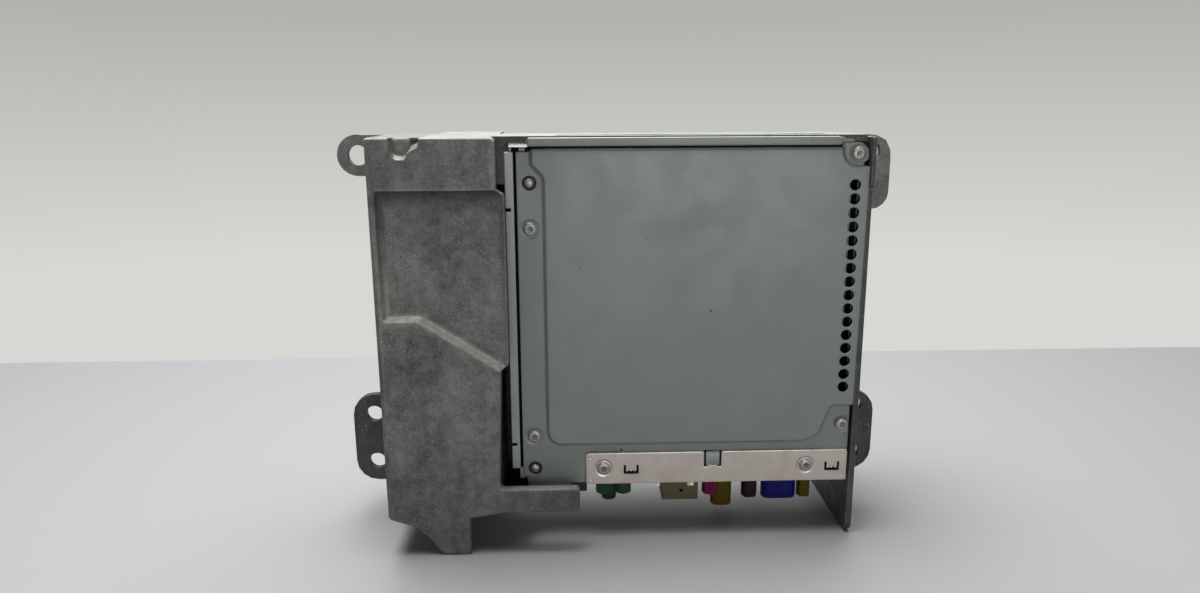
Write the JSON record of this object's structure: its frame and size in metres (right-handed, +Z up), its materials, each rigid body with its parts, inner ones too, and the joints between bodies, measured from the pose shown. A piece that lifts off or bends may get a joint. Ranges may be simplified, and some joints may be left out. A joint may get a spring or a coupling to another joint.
{
  "type": "car radio main unit",
  "caption": "Car radio main unit with a die-cast frame, steel case, slot-loading disc drive, fan bay, fixing ears and downward antenna sockets.",
  "frame": {"origin": "on the table, midway between the outer edges of the ears and midway through the depth", "axes": "+X along the width to the viewer's right, +Y away from the viewer through the depth, +Z up"},
  "size_m": [0.2754, 0.09, 0.1976],
  "materials": {
    "cast_metal": "as cast, stained",
    "sink_metal": "satin",
    "case_paint": "satin",
    "zinc_sheet": "zinc plated",
    "plain_steel": "satin",
    "can_tin": "tinned",
    "black_plastic": "matte",
    "black_rubber": "matte",
    "board_green": "solder mask",
    "pale_plastic": "matte",
    "dark_package": "matte",
    "green_plastic": "matte",
    "magenta_plastic": "matte",
    "yellow_plastic": "matte",
    "brown_plastic": "matte",
    "blue_plastic": "matte",
    "beige_plastic": "matte"
  },
  "bodies": {
    "chassis": {"chassis_casting": "cast_metal", "right_side_casting": "cast_metal", "side_screw_1": "plain_steel", "side_screw_2": "plain_steel", "heat_sink": "sink_metal", "bay_cover": "case_paint", "cover_screw_1": "plain_steel", "cover_screw_2": "plain_steel", "cover_screw_3": "plain_steel", "cover_screw_4": "plain_steel", "fan_frame": "black_plastic", "case_tray": "case_paint", "case_lid": "case_paint", "side_rail": "case_paint", "top_clip": "zinc_sheet", "top_edge_bar": "case_paint", "connector_strip": "zinc_sheet", "lid_screw_1": "plain_steel", "lid_screw_2": "plain_steel", "lid_screw_3": "plain_steel", "lid_screw_4": "plain_steel", "strip_screw_1": "plain_steel", "strip_screw_2": "plain_steel", "damper_pin_1": "plain_steel", "damper_pin_2": "plain_steel", "damper_ring_1": "black_rubber", "damper_ring_2": "black_rubber", "main_board": "board_green", "processor_shield": "can_tin", "tuner_can": "can_tin", "power_board": "board_green", "amplifier_chip": "dark_package", "capacitor_1": "black_plastic", "capacitor_2": "black_plastic", "link_ribbon": "pale_plastic", "green_socket_1": "green_plastic", "green_socket_2": "green_plastic", "black_socket": "black_plastic", "magenta_socket": "magenta_plastic", "yellow_socket": "yellow_plastic", "brown_socket": "brown_plastic", "blue_socket": "blue_plastic", "olive_socket": "yellow_plastic", "beige_socket": "beige_plastic", "power_socket": "black_plastic", "drive_deck": "plain_steel", "spindle_motor": "plain_steel", "hinge_pin": "plain_steel", "guide_rod_1": "plain_steel", "guide_rod_2": "plain_steel", "sled_motor": "plain_steel", "loading_motor": "plain_steel"},
    "turntable": {"turntable": "black_plastic"},
    "clamp_arm": {"clamp_arm": "plain_steel"},
    "clamp_puck": {"clamp_puck": "pale_plastic"},
    "pickup_sled": {"pickup_sled": "black_plastic"},
    "lead_screw": {"lead_screw": "plain_steel"},
    "feed_roller": {"feed_roller": "black_rubber"},
    "motor_pinion": {"motor_pinion": "pale_plastic"},
    "fan_rotor": {"fan_rotor": "black_plastic"}
  },
  "joints": [
    {"name": "turntable_spin", "type": "hinge", "parent": "chassis", "child": "turntable", "pos_m": [0.0335, -0.0156, 0.112], "axis": [0, 1, 0], "continuous": true},
    {"name": "clamp_arm_swing", "type": "hinge", "parent": "chassis", "child": "clamp_arm", "pos_m": [-0.0375, -0.0233, 0.112], "axis": [0, 0, -1], "range_deg": [0, 2], "stiffness_Nm_per_rad": 0.05, "springref_deg": -11.46},
    {"name": "clamp_puck_spin", "type": "hinge", "parent": "clamp_arm", "child": "clamp_puck", "pos_m": [0.0335, -0.023, 0.112], "axis": [0, 1, 0], "continuous": true},
    {"name": "sled_slide", "type": "slide", "parent": "chassis", "child": "pickup_sled", "axis": [1, 0, 0], "range_m": [0, 0.034]},
    {"name": "lead_screw_spin", "type": "hinge", "parent": "chassis", "child": "lead_screw", "pos_m": [0.073, -0.0116, 0.142], "axis": [1, 0, 0], "range_deg": [0, 2190]},
    {"name": "feed_roller_spin", "type": "hinge", "parent": "chassis", "child": "feed_roller", "pos_m": [0.033, -0.0144, 0.18], "axis": [1, 0, 0], "continuous": true},
    {"name": "motor_pinion_spin", "type": "hinge", "parent": "chassis", "child": "motor_pinion", "pos_m": [0.0994, -0.01154, 0.17], "axis": [1, 0, 0], "continuous": true},
    {"name": "fan_spin", "type": "hinge", "parent": "chassis", "child": "fan_rotor", "pos_m": [-0.0841, 0.034, 0.162], "axis": [0, 1, 0], "continuous": true}
  ],
  "couplings": [
    {"joint": "clamp_puck_spin", "follows": "turntable_spin", "ratio": 1},
    {"joint": "lead_screw_spin", "follows": "sled_slide", "rad_per_m": 1122},
    {"joint": "motor_pinion_spin", "follows": "feed_roller_spin", "ratio": -1.6}
  ]
}
